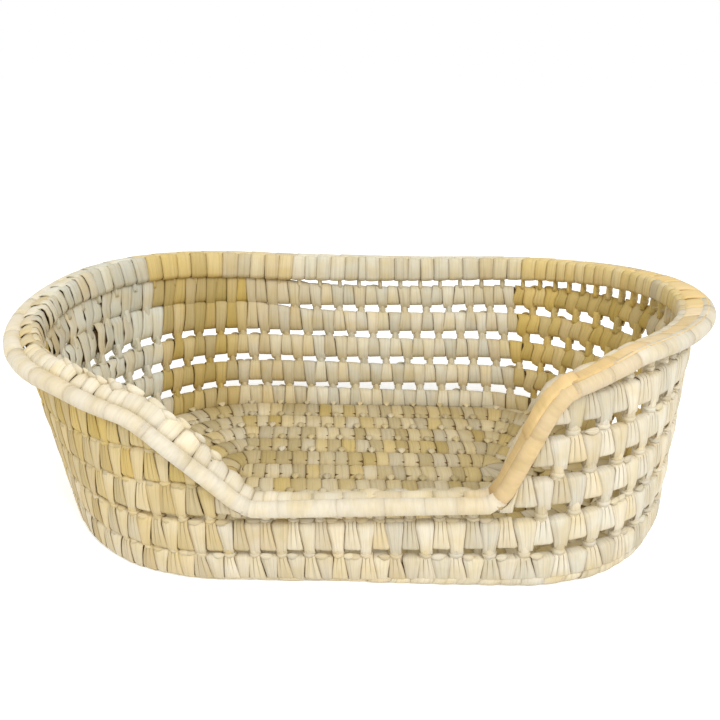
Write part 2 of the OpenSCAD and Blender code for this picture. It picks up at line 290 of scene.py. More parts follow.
palm = {
    "pale": srgb(236, 226, 203),
    "gold": srgb(214, 185, 102),
    # a cool tint, partly the leaf's own and partly a painted cast of cool light on the inside of the left
    # end
    "grey": srgb(216, 216, 200),
    "tan": srgb(230, 194, 128),
    # colour at strip edges: partly a browner cut edge, partly painted shade in the seams between strips
    "edge": srgb(140, 104, 52),
    # painted shade in the folds of the fans' pleats
    "pleatShade": srgb(112, 84, 34),
    # painted shade in the valley between the edge coil and the outer roll
    "valleyShade": srgb(70, 48, 22),
    "coreDark": srgb(62, 44, 20),
    "coreLight": srgb(128, 98, 50),
    "fibreScale": 22,
    "fibreStretch": 0.9,
    "roughness": 0.58,
}


class Nodes:
    def __init__(self, name):
        self.material = bpy.data.materials.new(name)
        self.material.use_nodes = True
        self.tree = self.material.node_tree
        self.shader = self.tree.nodes["Principled BSDF"]

    def add(self, kind, **settings):
        node = self.tree.nodes.new(kind)
        for key, value in settings.items():
            setattr(node, key, value)
        return node

    def feed(self, socket, value):
        if isinstance(value, (int, float, tuple)):
            socket.default_value = value
        else:
            self.tree.links.new(value, socket)

    def math(self, operation, a, b=0.0):
        node = self.add("ShaderNodeMath", operation=operation)
        self.feed(node.inputs[0], a)
        self.feed(node.inputs[1], b)
        return node.outputs[0]

    def mix(self, blend, factor, a, b):
        node = self.add("ShaderNodeMix", data_type="RGBA", blend_type=blend)
        for socket, value in zip((node.inputs[0], node.inputs[6], node.inputs[7]), (factor, a, b)):
            self.feed(socket, value)
        return node.outputs[2]

    def range(self, value, low, high, outLow, outHigh):
        node = self.add("ShaderNodeMapRange")
        for socket, number in zip(node.inputs[0:5], (value, low, high, outLow, outHigh)):
            self.feed(socket, number)
        return node.outputs[0]

    def noise(self, vector, scale, detail=2.0, roughness=0.5):
        node = self.add("ShaderNodeTexNoise")
        settings = {"Vector": vector, "Scale": scale, "Detail": detail, "Roughness": roughness}
        for name, value in settings.items():
            self.feed(node.inputs[name], value)
        return node.outputs["Fac"]


def palmMaterial(name, edgeAndSeamShade, fibre=1.0, bright=0.95):
    n = Nodes(name)
    uv = n.add("ShaderNodeUVMap", uv_map="strip").outputs[0]
    tone = n.add("ShaderNodeAttribute", attribute_name="tone")
    toneParts = n.add("ShaderNodeSeparateColor")
    n.feed(toneParts.inputs[0], tone.outputs["Color"])
    shade, gold, grey = toneParts.outputs
    place = n.add("ShaderNodeTexCoord").outputs["Object"]
    stretch = n.add("ShaderNodeMapping")
    stretch.inputs["Scale"].default_value = (palm["fibreScale"], palm["fibreStretch"], 1)
    n.feed(stretch.inputs["Vector"], uv)
    fine = n.noise(stretch.outputs[0], 1.0, 3.0, 0.6)
    streak = n.noise(stretch.outputs[0], 0.28, 2.0, 0.5)
    blotch = n.noise(place, 60.0, 2.0, 0.5)
    color = n.mix("MIX", gold, palm["pale"], palm["gold"])
    color = n.mix("MIX", grey, color, palm["grey"])
    color = n.mix("MIX", tone.outputs["Alpha"], color, palm["tan"])
    color = n.mix("MIX", n.range(blotch, 0.4, 0.75, 0.0, 0.4), color, palm["gold"])
    fineLevel = n.range(fine, 0.30, 0.70, 1.0 - 0.10 * fibre, 1.0 + 0.05 * fibre)
    streakLevel = n.range(streak, 0.30, 0.50, 1.0 - 0.16 * fibre, 1.0)
    level = n.math("MULTIPLY", n.range(shade, 0.0, 1.0, 0.70 * bright, 1.06 * bright),
                   n.math("MULTIPLY", fineLevel, streakLevel))
    grays = n.add("ShaderNodeCombineColor")
    for socket in grays.inputs:
        n.feed(socket, level)
    color = n.mix("MULTIPLY", 1.0, color, grays.outputs[0])
    across = n.add("ShaderNodeSeparateXYZ")
    n.feed(across.inputs[0], uv)
    fromMiddle = n.math("ABSOLUTE", n.math("SUBTRACT", across.outputs[0], 0.5))
    # darker strip edges: partly a browner cut edge, partly painted shade in the seams between
    # neighbouring strips
    frayed = n.math("ADD", fromMiddle, n.math("MULTIPLY", fine, 0.03))
    border = n.range(frayed, 0.478, 0.515, 0.0, edgeAndSeamShade)
    patches = n.add("ShaderNodeMapping")
    patches.inputs["Scale"].default_value = (0.3, 1.3, 1)
    n.feed(patches.inputs["Vector"], uv)
    broken = n.range(n.noise(patches.outputs[0], 1.0, 1.0, 0.5), 0.36, 0.64, 0.2, 1.0)
    color = n.mix("MIX", n.math("MULTIPLY", border, broken), color, palm["edge"])
    # painted shade along the folds of the fans' pleats
    fold = n.add("ShaderNodeAttribute", attribute_name="fold").outputs["Fac"]
    fromPleat = n.math("ABSOLUTE", n.math("SUBTRACT", fromMiddle, 0.17))  # two pleats in a fan
    pleat = n.range(n.math("ADD", fromPleat, n.math("MULTIPLY", streak, 0.03)), 0.015, 0.055, 1.0, 0.0)
    color = n.mix("MIX", n.math("MULTIPLY", pleat, fold), color, palm["pleatShade"])
    # painted shade darkens the valley between the edge coil and the outer roll
    valleyShade = n.add("ShaderNodeAttribute", attribute_name="valleyShade").outputs["Fac"]
    color = n.mix("MIX", valleyShade, color, palm["valleyShade"])
    n.feed(n.shader.inputs["Base Color"], color)
    rough = palm["roughness"]
    n.feed(n.shader.inputs["Roughness"], n.range(fine, 0.3, 0.7, rough + 0.12, rough - 0.1))
    n.shader.inputs["Specular IOR Level"].default_value = 0.35
    bump = n.add("ShaderNodeBump")
    bump.inputs["Strength"].default_value = 0.4
    bump.inputs["Distance"].default_value = 0.6 * mm
    n.feed(bump.inputs["Height"], n.math("ADD", fine, n.math("MULTIPLY", streak, 1.5)))
    n.feed(n.shader.inputs["Normal"], bump.outputs[0])
    return n.material


def coreMaterial(name):
    n = Nodes(name)
    place = n.add("ShaderNodeTexCoord").outputs["Object"]
    shreds = n.noise(place, 420.0, 3.0, 0.65)
    color = n.mix("MIX", n.range(shreds, 0.3, 0.7, 0.0, 1.0), palm["coreDark"], palm["coreLight"])
    n.feed(n.shader.inputs["Base Color"], color)
    n.shader.inputs["Roughness"].default_value = 0.85
    bump = n.add("ShaderNodeBump")
    bump.inputs["Distance"].default_value = 1.0 * mm
    n.feed(bump.inputs["Height"], shreds)
    n.feed(n.shader.inputs["Normal"], bump.outputs[0])
    return n.material


stripPalm = palmMaterial("palm_strip", edgeAndSeamShade=0.6)
knotPalm = palmMaterial("palm_knot", edgeAndSeamShade=0.2, fibre=1.2)
rollPalm = palmMaterial("palm_roll", edgeAndSeamShade=0.22, fibre=0.6, bright=0.97)
corePalm = coreMaterial("palm_core")
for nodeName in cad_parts:
    if nodeName.endswith("_core"):
        bpy.data.objects[nodeName].data.materials.clear()
        bpy.data.objects[nodeName].data.materials.append(corePalm)
print("materials ready")

# Colour round the basket: from, to in mm along s, then how golden, how grey, how tan and how dark. The
# zones are partly the leaf's own tone and partly painted light: the golden back right stands for the
# shade on its inside, the grey at the left end is a painted cast of cool light, and how dark is painted
# shade
dice = random.Random(20)
paint = {
    "zones": [
        (-320, -95, 0.65, 0.0, 0.05, 0.08),
        (-95, 75, 0.2, 0.1, 0.05, 0.04),
        (75, 325, 0.08, 0.15, 0.0, 0.1),
        (325, 365, 0.5, 0.1, 0.0, 0.08),
        (365, 528, 0.95, 0.0, 0.0, 0.05),
        (528, 560, 0.5, 0.3, 0.0, 0.0),
        (560, 760, 0.3, 0.5, 0.0, 0.0),
        (-640, -570, 0.5, 0.2, 0.0, 0.1),
        (-570, -480, 0.9, 0.0, 0.0, 0.42),
        (-480, -350, 0.08, 0.8, 0.0, 0.0),
        (-350, -320, 0.3, 0.4, 0.0, 0.04),
    ],
    "soft": 12,
    "leftFront": (-340, -85),
    "leftGold": 0.35,
    "leftRise": 0.2,
    "rimGold": (280, 350),
    "rimShift": 60 * mm,
    "rimSoft": 3,
    "rimLift": 0.05,
    "goldPaintedLight": 0.45,
    "goldFade": 0.82,
    "lipShade": 0.12,
}


def stripTone(s, row=3.0, paler=0.0, soft=paint["soft"]):
    at = float(wrapped(s)) / mm + dice.uniform(-1, 1) * soft
    gold, grey, tan, dark = 0.2, 0.2, 0.0, 0.0
    for low, high, *tones in paint["zones"]:
        if low <= at < high or low <= at - around / mm < high or low <= at + around / mm < high:
            gold, grey, tan, dark = tones
    if paint["leftFront"][0] < at < paint["leftFront"][1]:
        gold = gold * (paint["leftGold"] + paint["leftRise"] * row)
    gold = gold - paler + dice.uniform(-0.15, 0.2)
    grey = grey + dice.uniform(-0.12, 0.12)
    # painted shade: the zone's how dark value is taken off the random tone
    shade = dice.uniform(0.4, 1.0) - dark
    return shade, min(1, max(0, gold)), min(1, max(0, grey)), max(0, tan + dice.uniform(-0.3, 0.2))


# Bands: strips wound round a coil, modelled once as a short open cylinder
band = {
    "sides": 12,
    "rollSides": 16,
    "fanRings": (-0.6, 0.6, -0.25, 0.7, -0.25, 0.6, -0.6),
    "plainRings": (-0.35, 0.12, 0.2, 0.12, -0.35),
    "lumpRings": (-1.8, 0.4, 1.0, 0.4, -1.8),
    "rollRings": (-0.06, 0.0, 0.03, 0.0, -0.06),
    "thick": 0.6 * mm,
    "taper": 0.16,
    "flatOutside": 4.2,
    "roundInside": 2.3,
    "shingle": 0.3 * mm,
    "ragged": (-460 * mm, -290 * mm),
}


def modelBand(sides, lifts):
    # one ring of points for each lift in mm
    startFresh()
    bpy.ops.mesh.primitive_cylinder_add(vertices=sides, radius=1, depth=1, end_fill_type="NOTHING")
    hoop = bpy.context.object
    pickEdges(hoop, lambda a, b: abs(a.z - b.z) > 0.5)
    bpy.ops.mesh.subdivide(number_cuts=len(lifts) - 2)
    bpy.ops.object.mode_set(mode="OBJECT")
    for i, lift in enumerate(lifts):
        pickPoints(hoop, lambda co: abs(co.z + 0.5 - i / (len(lifts) - 1)) < 0.001)
        bpy.ops.transform.resize(value=(1 + lift * mm, 1 + lift * mm, 1))
        bpy.ops.object.mode_set(mode="OBJECT")
    return readMaster(hoop, bandAcross, bandRound)


def bandAcross(points):
    return 0.5 - points[:, 2]


def bandRound(points):
    return (np.arctan2(points[:, 1], points[:, 0]) / (2 * math.pi) + 1.25) % 1.0


def bandLift(points):
    return np.hypot(points[:, 0], points[:, 1]) - 1


def coilSection(q, high, thick, lift, inside=band["roundInside"]):
    angle = 2 * math.pi * q - math.pi / 2
    power = 2 / np.where(np.cos(angle) > 0, band["flatOutside"], inside)
    u = np.sign(np.cos(angle)) * np.abs(np.cos(angle)) ** power * (thick / 2 + lift)
    v = np.sign(np.sin(angle)) * np.abs(np.sin(angle)) ** power * (high / 2 + lift)
    return u, v


def windBand(master, s, flip, high, thick, place, width, slant=0.0, pull=0.0,
             inside=band["roundInside"], rough=0.0):
    # flip is 1 for a fan that widens downwards, -1 for a strip that narrows downwards
    # and 0 for a straight one, pull draws the narrow end into its knot,
    # and rough makes a strip wavy and uneven
    points = master["points"]
    p, q, rise = bandAcross(points) - 0.5, bandRound(points), bandLift(points)
    out = np.cos(2 * math.pi * q - math.pi / 2)
    level = np.sin(2 * math.pi * q - math.pi / 2)
    fold = np.zeros(len(points))
    if flip > 0:
        pleat = np.clip(out + 0.2, 0, 1) * (0.55 + 0.45 * level)
        # fold sets how much shade is painted along the pleats, most near the top
        fold = np.where(out > 0.1, np.clip(dice.uniform(0.3, 0.8) + level, 0, 1), 0)
        rise = rise * np.where(np.abs(p) < 0.49, pleat, 1)
    lift = rise + band["shingle"] * p * 2
    lift = lift + (dice.uniform(-0.2, 0.25) + rough * dice.uniform(-0.8, 1.2)) * mm
    lift = lift + rough * dice.uniform(-1.5, 1.5) * mm * p
    u, v = coilSection(q, high, thick, lift, inside)
    share = 1 if flip == 0 else 0.5
    taper = share - flip * band["taper"] * (2 * v / high) * (0.7 + 0.3 * out)
    v = v + flip * pull * np.clip(flip * level, 0, 1) ** 3
    slide = dice.uniform(-0.5, 0.5) * mm + dice.uniform(-0.05, 0.05) * v
    slide = slide + np.clip(-out, 0, 1) * v * slant
    wave = np.sin(dice.uniform(0, 6.28) + v / (2.6 * mm)) * 1.6 * mm
    slide = slide + rough * np.clip(-out, 0, 1) * (wave + dice.uniform(-0.35, 0.2) * v)
    return place(s + slide + p * width * taper * dice.uniform(1.0, 1.06), u, v), fold


fanBand = modelBand(band["sides"], band["fanRings"])
plainBand = modelBand(band["sides"], band["plainRings"])
lumpBand = modelBand(band["sides"], band["lumpRings"])
rollBand = modelBand(band["rollSides"], band["rollRings"])

# Rows of the wall
row = {
    "high": 23.4 * mm,
    "thick": 11.8 * mm,
    "stripPull": 0.85,
    "fanPull": 0.2,
    "coreInset": 2.6 * mm,
    "coreRings": 120,
    "coreSides": 10,
    "coreTone": (0.5, 0.5, 0, 0),
    "closed": {5: 0.75, 4: 0.55, 3: -0.12, 2: -0.12},
    "closedAt": (-640 * mm, -330 * mm),
    "slim": [(330 * mm, 760 * mm, 0.15), (70 * mm, 400 * mm, 0.1), (-400 * mm, -90 * mm, -0.11)],
    "slanted": (330 * mm, 530 * mm),
    "slant": -0.45,
    "plainSlant": -0.05,
    "paler": 0.12,
    "endCut": 0.85,
    "knotCut": 0.7,
    "lowest": 0.6 * mm,
    "sink": 3.2 * mm,
    "sunk": (-250 * mm, 170 * mm),
    "endIn": 2.8 * mm,
    "ends": [(-520 * mm, -170 * mm), (170 * mm, 520 * mm)],
}
coreBand = modelBand(row["coreSides"], [0] * row["coreRings"])


def stretchOf(low, high, s):
    # 1 along a stretch of the wall, fading to 0 at its ends
    t = (np.asarray(s, float) - (low + high) / 2 + around / 2) % around - around / 2
    return np.clip(2.5 * (1 - 2 * np.abs(t) / (high - low)), 0, 1)


def shareAt(stretch, s):
    return float(stretchOf(*stretch, s))


def rowSink(s):
    # along the front the first row is lower, and the second sits down on it
    return row["sink"] * stretchOf(*row["sunk"], s)


def rowIn(s):
    # the outer face lies a little further in at both ends
    return row["endIn"] * sum(stretchOf(*end, s) for end in row["ends"])


def rowPlace(k):
    # the back left corner is stitched tighter, so each row's top reaches higher there
    def place(s, u, v):
        closed = row["closed"].get(k, 0.0) * stretchOf(*row["closedAt"], s)
        slim = sum(share * stretchOf(low, high, s) for low, high, share in row["slim"])
        v = v * (1 - slim + np.where(v > 0, closed, np.minimum(closed, 0)))
        if k <= wall["lipRows"]:
            v = v - rowSink(s) * (np.clip(2 * v / row["high"], 0, 1) if k == 1 else 1)
        u = u - rowIn(s) * np.clip(2 * u / row["thick"], 0, 1)
        r = k - 0.5 + v / rowStep(s)
        s = leaning(r, s)
        at = wallPoint(np.minimum(r, rowCeiling(s)), s, u)
        at[:, 2] = np.maximum(at[:, 2], row["lowest"])
        return at
    return place


def rowEnds(k):
    # where the rim's slopes cut off an upper row
    if k <= wall["lipRows"]:
        return -around / 2, around / 2
    fine = np.linspace(0, around, 3000)
    free = fine[rowCeiling(fine) > k - row["endCut"]]
    return free[0], free[-1]


def layRow(k):
    place = rowPlace(k)
    start, stop = rowEnds(k)
    for flip, master, name in ((1, fanBand, "row_%d_fans"), (-1, plainBand, "row_%d_strips")):
        copies, tones, folds = [], [], []
        gap = k if flip > 0 else k - 1
        for j in range(stations):
            s = stationAt(j + 0.5 * (gap % 2))
            if k > wall["lipRows"] and not start < s % around < stop:
                continue
            slanted = row["slanted"][0] < s < row["slanted"][1]
            slant = row["slant"] if slanted else row["plainSlant"]
            pull = 0.0 if gap == 0 else row["fanPull"] if flip > 0 else row["stripPull"]
            pull = pull * (float(rowStep(np.array(s))) - wall["coilHigh"])
            rough = shareAt(band["ragged"], s) * (k > wall["lipRows"])
            points, fold = windBand(master, s, flip, row["high"], row["thick"], place, stepAt(s),
                                    slant, pull, rough=rough)
            copies.append(points)
            folds.append(fold)
            tones.append(stripTone(s, k, row["paler"] if flip < 0 else 0.0))
        piece = layPiece(name % k, master, copies, tones, band["thick"], folds)
        dress(piece, stripPalm, "wrap_strip", "row_%d_wrap" % k)
    layCore("row_%d_bundle" % k, "row_%d_core" % k, start, stop, row["high"], row["thick"], place)


def layCore(name, node, start, stop, high, thick, place):
    points = coreBand["points"]
    s = start + bandAcross(points) * (stop - start)
    u, v = coilSection(bandRound(points), high, thick, np.full(len(points), -row["coreInset"]))
    piece = layPiece(name, coreBand, [place(s, u, v)], [row["coreTone"]])
    closeEnds()
    dress(piece, corePalm, "core_bundle", node)


def closeEnds():
    # a bundle that runs all the way round meets itself, any other gets an end face
    bpy.ops.object.mode_set(mode="EDIT")
    bpy.ops.mesh.select_all(action="SELECT")
    bpy.ops.mesh.remove_doubles(threshold=0.01 * mm)
    bpy.ops.mesh.fill_holes(sides=0)
    bpy.ops.mesh.select_all(action="SELECT")
    bpy.ops.mesh.normals_make_consistent(inside=False)
    bpy.ops.object.mode_set(mode="OBJECT")


for rowNumber in range(1, wall["rows"] + 1):
    layRow(rowNumber)
print("rows laid")

# Knots: a wound waist in each gap, with a tie round it and a loose leaf beside it
knot = {
    "profile": [(1.35, -1.0), (1.15, -0.6), (1.0, -0.2), (0.97, 0.15), (1.1, 0.55), (1.4, 1.0)],
    "sides": 8,
    "halfWide": 4.7 * mm,
    "halfDeep": 4.3 * mm,
    "out": 0.9 * mm,
    "bite": 4.5 * mm,
    "tieHigh": 3.4 * mm,
    "tieSize": 1.14,
    "tieInside": 0.85,
    "tieAt": 0.2,
    "thick": 0.5 * mm,
    "least": 1.0 * mm,
    "fullStep": 22.5 * mm,
    "leafLong": 12.5 * mm,
    "leafHigh": 4.2 * mm,
    "leafUp": 0.9 * mm,
    "leafDrop": 2.5 * mm,
    "leafOut": 3.2 * mm,
    "leafTilt": 2.2 * mm,
    "backFrom": 300 * mm,
    "backFade": 80 * mm,
    "backSlender": 0.28,
    "backBare": 0.7,
    "rightFrom": 90 * mm,
    "rightBare": 0.6,
    "lipOut": -1.0 * mm,
    "rimOut": -1.5 * mm,
    "rimSlender": 0.3,
    "rimPitch": 21 * mm,
    "rimClose": (300 * mm, 540 * mm),
    "rimCloser": 0.3,
}


def modelKnot():
    startFresh()
    bpy.ops.mesh.primitive_plane_add(size=1)
    waist = bpy.context.object
    bpy.ops.object.mode_set(mode="EDIT")
    bpy.ops.mesh.select_all(action="SELECT")
    bpy.ops.mesh.merge(type="CENTER")
    bpy.ops.transform.translate(value=(knot["profile"][0][0], 0, knot["profile"][0][1]))
    for (x0, z0), (x1, z1) in zip(knot["profile"], knot["profile"][1:]):
        bpy.ops.mesh.extrude_vertices_move(TRANSFORM_OT_translate={"value": (x1 - x0, 0, z1 - z0)})
    bpy.ops.mesh.select_all(action="SELECT")
    bpy.ops.mesh.spin(steps=knot["sides"], angle=2 * math.pi, center=(0, 0, 0), axis=(0, 0, 1))
    bpy.ops.mesh.select_all(action="SELECT")
    bpy.ops.mesh.remove_doubles(threshold=0.001)
    bpy.ops.mesh.normals_make_consistent(inside=False)
    bpy.ops.object.mode_set(mode="OBJECT")
    return readMaster(waist, knotAcross, lambda p: p[:, 2] * 0.25)


def knotAcross(points):
    return (np.arctan2(points[:, 1], points[:, 0]) / math.pi + 1) % 1.0


def modelLeaf():
    startFresh()
    bpy.ops.mesh.primitive_grid_add(x_subdivisions=4, y_subdivisions=2, size=1)
    leaf = bpy.context.object
    for x, wide, lift in ((0.5, 0.15, -0.8), (0.25, 0.8, 0.4), (0.0, 1.0, 0.8)):
        pickPoints(leaf, lambda co: abs(abs(co.x) - x) < 0.01)
        bpy.ops.transform.resize(value=(1, wide, 1))
        bpy.ops.transform.translate(value=(0, 0, lift * mm))
        bpy.ops.object.mode_set(mode="OBJECT")
    return readMaster(leaf, lambda p: p[:, 1] + 0.5, lambda p: (p[:, 0] + 0.5) * 0.3)


waistMaster = modelKnot()
tieMaster = modelBand(8, (-0.5, 0.3, -0.5))
leafMaster = modelLeaf()


def rimKnotPlaces():
    # the rim's knots stand closer together round the back right corner
    places, s = [], -around / 2
    while s < around / 2 - 8 * mm:
        places.append(s)
        s = s + knot["rimPitch"] * (1 - knot["rimCloser"] * shareAt(knot["rimClose"], s))
    return places


def layKnots(name, node, gap, low, high, out, places=None, slender=0.0):
    waists, ties, leaves = ([], []), ([], []), ([], [])
    points, ring, leaf = waistMaster["points"], tieMaster["points"], leafMaster["points"]
    for s0 in places or [float(leaning(gap, stationAt(j + 0.5 * (gap % 2)))) for j in range(stations)]:
        at = np.array([s0])
        bottom, top = low(at)[0], high(at)[0]
        if top - bottom < knot["least"] / rowPitch:
            continue
        back = min(1, max(0, (abs(float(wrapped(s0))) - knot["backFrom"]) / knot["backFade"]))
        wide = knot["halfWide"] * dice.uniform(0.9, 1.1) * (1 - knot["backSlender"] * back - slender)
        wide = wide * min(1, stepAt(s0) / knot["fullStep"])
        s0 = s0 + dice.uniform(-0.6, 0.6) * mm
        push = out - float(rowIn(s0)) + dice.uniform(-0.3, 0.4) * mm
        reach = (top - bottom) / 2 + knot["bite"] / rowPitch
        r = (top + bottom) / 2 + points[:, 2] * reach
        flat = points[:, 1] / np.hypot(points[:, 0], points[:, 1]) * (1.05 - 0.25 * points[:, 2] ** 2)
        waists[0].append(wallPoint(r, s0 - points[:, 0] * wide, push + flat * knot["halfDeep"]))
        waists[1].append(stripTone(s0, gap))
        size = knot["tieSize"] + bandLift(ring) / mm * 0.12
        angle = np.arctan2(ring[:, 1], ring[:, 0])
        up = (ring[:, 2] * knot["tieHigh"] + dice.uniform(-0.6, 0.6) * mm * np.cos(angle)) / rowPitch
        up = bottom + knot["tieAt"] * (top - bottom) + up + dice.uniform(-0.02, 0.03)
        deep = knot["halfDeep"] * np.where(np.sin(angle) > 0, size, knot["tieInside"])
        ties[0].append(wallPoint(up, s0 - np.cos(angle) * wide * size, push + np.sin(angle) * deep))
        ties[1].append(stripTone(s0, gap, 0.1))
        if dice.random() < max(knot["backBare"] * back, knot["rightBare"] * (s0 > knot["rightFrom"])):
            continue  # few loose leaves at the back and at the right, where the gaps stay open
        side = 1 if dice.random() < 0.8 else -1
        run = (leaf[:, 0] * side + 0.45) * knot["leafLong"] * dice.uniform(0.7, 1.0)
        s = s0 + side * (wide * 0.8 + run)
        rise = (leaf[:, 0] + 0.5) * dice.uniform(-0.5, 1.2) * mm
        r = leaf[:, 1] * knot["leafHigh"] + knot["leafUp"] - knot["leafDrop"] * back + rise
        away = push + knot["leafOut"] + leaf[:, 2] - leaf[:, 1] * knot["leafTilt"]
        leaves[0].append(wallPoint(bottom + r / rowPitch, s, away))
        leaves[1].append(stripTone(s0, gap, 0.05))
    for part, master, laid in (("_waists", waistMaster, waists), ("_ties", tieMaster, ties),
                               ("_leaves", leafMaster, leaves)):
        dress(layPiece(name + part, master, *laid, knot["thick"]), knotPalm, "knot_strip", node)


def rowTop(k):
    return lambda s: k - 0.5 + (wall["coilHigh"] / 2 - rowSink(s) * (k <= wall["lipRows"])) / rowStep(s)


def rowFoot(k):
    def foot(s):
        down = wall["coilHigh"] / 2 + rowSink(s) * (k == wall["lipRows"])
        return np.where(rowCeiling(s) > k - row["knotCut"], k - 0.5 - down / rowStep(s), -9)
    return foot


def edgeFoot(low, high):
    def foot(s):
        inside = (edgeRow(s) > low) & (edgeRow(s) < high)
        return np.where(inside, edgeRow(s) - rim["edgeHigh"] / 2 / rowStep(s), -9)
    return foot


for k in range(1, wall["rows"]):
    pair = "knots_%d_%d" % (k, k + 1)
    layKnots(pair, pair, k, rowTop(k), rowFoot(k + 1), knot["out"])
layKnots("lip", "lip_knots", 2, rowTop(2), edgeFoot(0, lipRow + 0.05), knot["lipOut"])
layKnots("rim", "rim_knots", 5, rowTop(5), edgeFoot(rimRow - 0.06, 9), knot["rimOut"],
         rimKnotPlaces(), knot["rimSlender"])
print("knots laid")

# Edge coil, outer roll and the lashings over both
edge = {
    "pitch": 15 * mm,
    "broad": 22 * mm,
    "broadFrom": -230 * mm,
    "broadTo": 150 * mm,
    "flatInside": 3.6,
    "valley": math.radians(50),
    "open": (-600 * mm, -30 * mm),
    "fine": [(320 * mm, 530 * mm), (-470 * mm, -290 * mm)],
    "finer": 0.28,
    "rough": 0.5,
}
roll = {
    "narrow": 18 * mm,
    "broad": 40 * mm,
    "overlap": 1.12,
    "slope": (72 * mm, 190 * mm),
    "slopeTan": 0.65,
    "tan": 0.12,
    "tanAt": (70 * mm, 230 * mm),
    "gold": 0.35,
    "goldAt": (300 * mm, 560 * mm),
    "dull": 0.3,
    "dullAt": (80 * mm, 560 * mm),
    "lipDull": 0.13,
    "lipDullAt": (-260 * mm, 200 * mm),
}
lashing = {
    "route": [(-8.0, -0.8), (-5.0, 0.9), (-1.0, 0.7), (2.5, -1.0), (5.2, -3.5)],
    "columns": 4,
    "thick": 0.7 * mm,
    "crown": 0.9 * mm,
    "cover": 1.0,
    "narrowing": 0.05,
    "leftNarrowing": 0.16,
    "pits": 0.12,
    "pitted": (-400 * mm, -250 * mm),
    "lumpy": (-280 * mm, -40 * mm),
    "lumpyLeast": 0.3,
    "lumpWide": (0.5, 0.72),
    "over": 4 * mm,
    "scallop": 2.2 * mm,
    "merged": (50 * mm, 480 * mm),
    "backMerged": (350 * mm, 1100 * mm),
    "mergedTan": 0.5,
    "slopeTan": 0.3,
}


def edgePlace(s, u, v):
    # the coil's top and foot follow the rim's sizes
    half = rim["edgeHigh"] / 2
    top, low = rimSize("edgeTop", s), half + rimSize("edgeLow", s)
    return rimPoint(s, u, (v + half) * (top + low) / (2 * half) - low, -rim["edgeIn"])


def rimTone(s):
    # the right end of the rim is golden a little further to the front, and its slope is tan
    golden = paint["rimGold"][0] < s / mm < paint["rimGold"][1]
    shade, gold, grey, tan = stripTone(s + paint["rimShift"] if golden else s, 1.0, 0.0, paint["rimSoft"])
    tan = tan + roll["tan"] * shareAt(roll["tanAt"], s)
    # painted light makes the golden rim strips much lighter than the rest
    lift, fade = (paint["goldPaintedLight"], paint["goldFade"]) if gold > 0.6 else (paint["rimLift"], 1)
    shade = shade + lift - paint["lipShade"] * shareAt(rim["dullAt"], s)
    return shade, gold * fade, grey, min(1, tan)


def layEdge():
    parts = {"edge_strips": (plainBand, [], [], []), "edge_lip_strips": (lumpBand, [], [], [])}
    s = -around / 2
    while s < around / 2 - 2 * mm:
        broad = edge["broadFrom"] < s < edge["broadTo"]
        fine = max(shareAt(part, s) for part in edge["fine"])
        width = edge["broad"] if broad else edge["pitch"] * (1 - edge["finer"] * fine)
        width = min(width * dice.uniform(0.85, 1.1), around / 2 - s)
        master, copies, tones, valleyShades = parts["edge_lip_strips" if broad else "edge_strips"]
        rough = edge["rough"] * shareAt(band["ragged"], s)
        points, fold = windBand(master, s + width / 2, 0, rim["edgeHigh"], rim["edgeThick"], edgePlace,
                                width, inside=edge["flatInside"], rough=rough)
        copies.append(points)
        tones.append(rimTone(s))
        # painted shade on the valley side of the edge coil, along the open stretch at the left
        angle = 2 * math.pi * bandRound(master["points"]) - math.pi / 2
        valley = np.clip(5 * np.cos(angle - edge["valley"]) - 4, 0, 1)
        valleyShades.append(valley * shareAt(edge["open"], s))
        s = s + width
    for name, (master, copies, tones, valleyShades) in parts.items():
        piece = layPiece(name, master, copies, tones, band["thick"], None, valleyShades)
        dress(piece, stripPalm, "wrap_strip", "edge_wrap")
    half = around / 2
    layCore("edge_bundle", "edge_core", -half, half, rim["edgeHigh"], rim["edgeThick"], edgePlace)


def rollPlace(s, angle, size):
    out, up = rimSize("rollOut", s), rimSize("rollSize", s) - rim["rollSink"] + rimSize("rollUp", s)
    return rimPoint(s, np.cos(angle) * size, np.sin(angle) * size, out, up)


def layRoll():
    copies, tones = [], []
    points = rollBand["points"]
    p, angle = bandAcross(points) - 0.5, np.arctan2(points[:, 1], points[:, 0])
    start = -around / 2
    while start < around / 2 - mm:
        width = dice.uniform(roll["narrow"], roll["broad"])
        left = around / 2 - start
        width = left if left < width + roll["narrow"] else width
        s0 = start + width / 2
        s = s0 + p * width * roll["overlap"] + dice.uniform(-1.0, 1.0) * mm * np.sin(angle + 0.6)
        size = rimSize("rollSize", s) + bandLift(points) + (0.12 * p + dice.uniform(-0.08, 0.06)) * mm
        copies.append(rollPlace(s, angle, size))
        tone = stripTone(s0, 1.0, 0.25)
        tan = 0.5 * tone[3] + roll["slopeTan"] * shareAt(roll["slope"], s0) * dice.uniform(0.6, 1.2)
        right = shareAt(roll["goldAt"], s0)
        dull = roll["dull"] * shareAt(roll["dullAt"], s0)
        dull = dull + roll["lipDull"] * shareAt(roll["lipDullAt"], s0)
        shade = 0.5 + 0.3 * tone[0] - dull
        tones.append((shade, tone[1] * 0.2 + roll["gold"] * right, tone[2] * 0.25, min(1, tan)))
        start = start + width
    piece = layPiece("roll_strips", rollBand, copies, tones, band["thick"])
    dress(piece, rollPalm, "rim_strip", "roll_wrap")
    points = coreBand["points"]
    s, angle = -around / 2 + bandAcross(points) * around, np.arctan2(points[:, 1], points[:, 0])
    points = rollPlace(s, angle, rimSize("rollSize", s) - row["coreInset"])
    piece = layPiece("roll_bundle", coreBand, [points], [row["coreTone"]])
    closeEnds()
    dress(piece, corePalm, "core_bundle", "roll_core")


